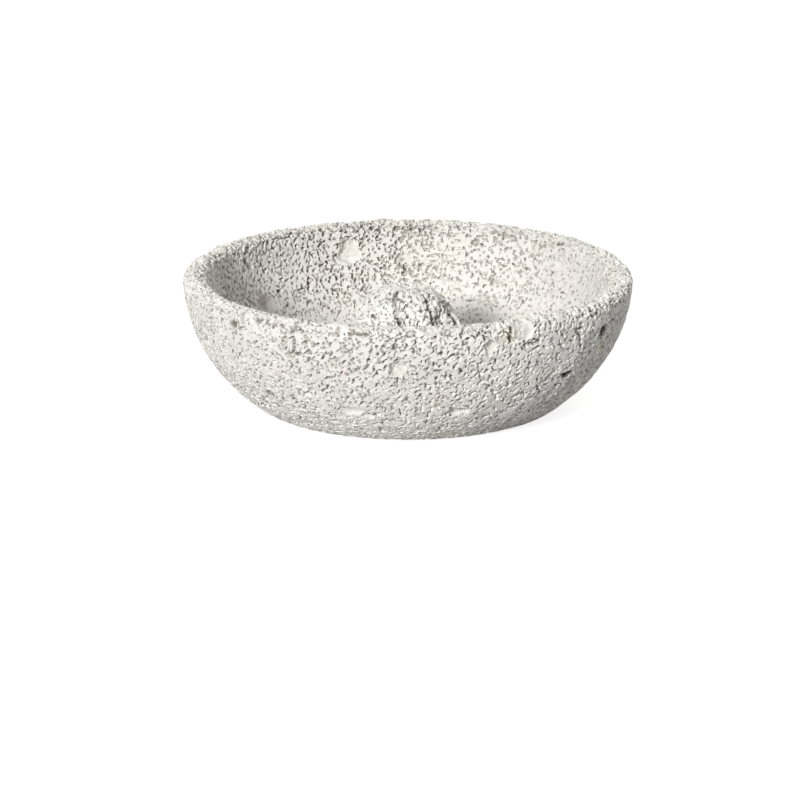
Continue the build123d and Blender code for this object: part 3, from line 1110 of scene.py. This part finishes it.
def pressed_cork(pad):
    """Pressed cork: granules of many browns with dark seams between them."""
    material, tree, shader, coordinates = new_material("pad_cork")
    cell_inputs = {"Vector": coordinates, "Scale": 1 / pad.granule}
    cells = add_node(tree, "ShaderNodeTexVoronoi", cell_inputs)
    seams = add_node(tree, "ShaderNodeTexVoronoi", cell_inputs, feature="DISTANCE_TO_EDGE")
    pick = add_node(tree, "ShaderNodeSeparateColor", {"Color": cells.outputs["Color"]}).outputs["Red"]
    fleck = noise(tree, coordinates, pad.granule / 4, roughness=0.6)
    seam = ramp(tree, seams.outputs["Distance"], start=0.10, end=0)
    body = blend(tree, pick, pad.pale, pad.dark)
    body = blend(tree, ramp(tree, fleck, start=0.45, end=0.75, high=0.50), body, pad.dark)
    seam_dark = ramp(tree, seam, start=0, end=1, high=0.60, ease="LINEAR")
    body = blend(tree, seam_dark, body, pad.seam)
    tree.links.new(body, shader.inputs["Base Color"])
    fleck_height = ramp(tree, fleck, start=0, end=1, high=0.50, ease="LINEAR")
    height = join(tree, "SUBTRACT", fleck_height, seam)
    tree.links.new(bump(tree, height, pad.seam_depth), shader.inputs["Normal"])
    roughness = ramp(tree, fleck, start=0.3, end=0.7, low=0.78, high=0.92)
    tree.links.new(roughness, shader.inputs["Roughness"])
    return material


# Stage


def seen_directly(tree):
    """1 for what the camera sees itself, in a mirror or through glass, 0 for other light."""
    path = add_node(tree, "ShaderNodeLightPath")
    seen = join(tree, "MAXIMUM", path.outputs["Is Camera Ray"], path.outputs["Is Glossy Ray"])
    return join(tree, "MAXIMUM", seen, path.outputs["Is Transmission Ray"])


def pale_floor(stage):
    """White floor that shows soft shadows, with a tone of its own for the light that it sends back."""
    material = bpy.data.materials.new("pale_floor")
    material.use_nodes = True
    tree = material.node_tree
    tree.nodes.clear()
    shown = add_node(tree, "ShaderNodeBsdfDiffuse", {"Color": (*[stage.floor_tone] * 3, 1)})
    glow = add_node(tree, "ShaderNodeEmission", {"Strength": stage.floor_glow})
    white = add_node(tree, "ShaderNodeAddShader", {0: shown.outputs[0], 1: glow.outputs[0]})
    dull = add_node(tree, "ShaderNodeBsdfDiffuse", {"Color": (*[stage.floor_bounce] * 3, 1)})
    choice = add_node(tree, "ShaderNodeMixShader",
                      {0: seen_directly(tree), 1: dull.outputs[0], 2: white.outputs[0]})
    add_node(tree, "ShaderNodeOutputMaterial", {"Surface": choice.outputs[0]})
    return material


def light_sky(stage):
    """Even light from all round, which is white where it is seen."""
    world = bpy.data.worlds.new("even_sky")
    bpy.context.scene.world = world
    world.use_nodes = True
    tree = world.node_tree
    tree.nodes.clear()
    strength = ramp(tree, seen_directly(tree), start=0, end=1, low=stage.sky)
    sky = add_node(tree, "ShaderNodeBackground", {"Color": (1, 1, 1, 1), "Strength": strength})
    add_node(tree, "ShaderNodeOutputWorld", {"Surface": sky.outputs[0]})


def aim(thing, target):
    """Points a lamp or camera at a place."""
    direction = Vector(target) - thing.location
    thing.rotation_euler = direction.to_track_quat("-Z", "Y").to_euler()


def add_sun(name, turned, height, spread, strength):
    """Adds a soft distant lamp that shines on the bowl from a turn and a height."""
    across = cos(height)
    place = (across * sin(turned), -across * cos(turned), sin(height))
    bpy.ops.object.light_add(type="SUN", location=place)
    lamp = bpy.context.object
    lamp.name = name
    lamp.data.energy = strength
    lamp.data.angle = spread
    aim(lamp, (0, 0, 0))


class HOLDER_OT_stage(bpy.types.Operator):
    """Set the floor, the soft key, fill and back lights, the sky and the camera"""

    bl_idname = "holder.stage"
    bl_label = "Stage"

    def execute(self, context):
        stage = context.scene.holder_stage
        middle = Vector((0, 0, context.scene.holder_bowl.height / 2))

        bpy.ops.object.select_all(action="DESELECT")
        bpy.ops.mesh.primitive_plane_add(size=stage.floor_size, location=(0, 0, PAD_LOW.z))
        floor = context.object
        floor.name = "floor"
        floor.data.materials.append(pale_floor(stage))
        light_sky(stage)

        add_sun("key_light", stage.key_turn, stage.key_height, stage.key_spread, stage.key_strength)
        add_sun("fill_light", stage.fill_turn, stage.fill_height, stage.fill_spread, stage.fill_strength)
        add_sun("back_light", stage.back_turn, stage.back_height, stage.back_spread, stage.back_strength)

        out = Vector((0, -cos(stage.view_height), sin(stage.view_height)))
        bpy.ops.object.camera_add(location=middle + out * stage.view_distance)
        camera = context.object
        camera.name = "camera"
        focal_pixels = stage.pixels_per_metre * stage.view_distance
        camera.data.lens = camera.data.sensor_width * focal_pixels / stage.picture
        left = (stage.middle_column - stage.picture / 2) / stage.pixels_per_metre
        low = (stage.picture / 2 - stage.middle_row) / stage.pixels_per_metre
        aim(camera, middle - Vector((left, 0, low / cos(stage.view_height))))
        context.scene.camera = camera
        context.scene.view_settings.view_transform = "Standard"
        return {"FINISHED"}


# Add-on


class HOLDER_PT_panel(bpy.types.Panel):
    """Lists the holder's pieces and their sizes"""

    bl_idname = "HOLDER_PT_panel"
    bl_label = "Incense stick holder"
    bl_space_type = "VIEW_3D"
    bl_region_type = "UI"
    bl_category = "Holder"

    def draw(self, context):
        for operator, groups in PANEL_ROWS:
            box = self.layout.box()
            box.operator(operator.bl_idname)
            for group in groups:
                settings = getattr(context.scene, group)
                for name in settings.__annotations__:
                    box.prop(settings, name)


SETTINGS = {
    "holder_bowl": BowlSettings,
    "holder_stone": StoneSettings,
    "holder_rock": RockSettings,
    "holder_sleeve": SleeveSettings,
    "holder_pad": PadSettings,
    "holder_stage": StageSettings,
}
PANEL_ROWS = [
    (HOLDER_OT_bowl, ["holder_bowl", "holder_stone"]),
    (HOLDER_OT_stick_rock, ["holder_rock"]),
    (HOLDER_OT_stick_sleeve, ["holder_sleeve"]),
    (HOLDER_OT_foot_pad, ["holder_pad"]),
    (HOLDER_OT_stage, ["holder_stage"]),
]
CLASSES = [*SETTINGS.values(), *[operator for operator, _ in PANEL_ROWS], HOLDER_PT_panel]


def register():
    """Registers the classes, and puts the settings into the scene."""
    for each in CLASSES:
        bpy.utils.register_class(each)
    for name, group in SETTINGS.items():
        setattr(bpy.types.Scene, name, PointerProperty(type=group))


def unregister():
    """Takes the settings out of the scene, and the classes out of Blender."""
    for name in SETTINGS:
        delattr(bpy.types.Scene, name)
    for each in reversed(CLASSES):
        bpy.utils.unregister_class(each)


def main():
    """Makes the holder and its stage."""
    register()
    bpy.ops.holder.bowl()
    bpy.ops.holder.stick_rock()
    bpy.ops.holder.stick_sleeve()
    bpy.ops.holder.foot_pad()
    bpy.ops.holder.stage()


if __name__ == "__main__":
    main()
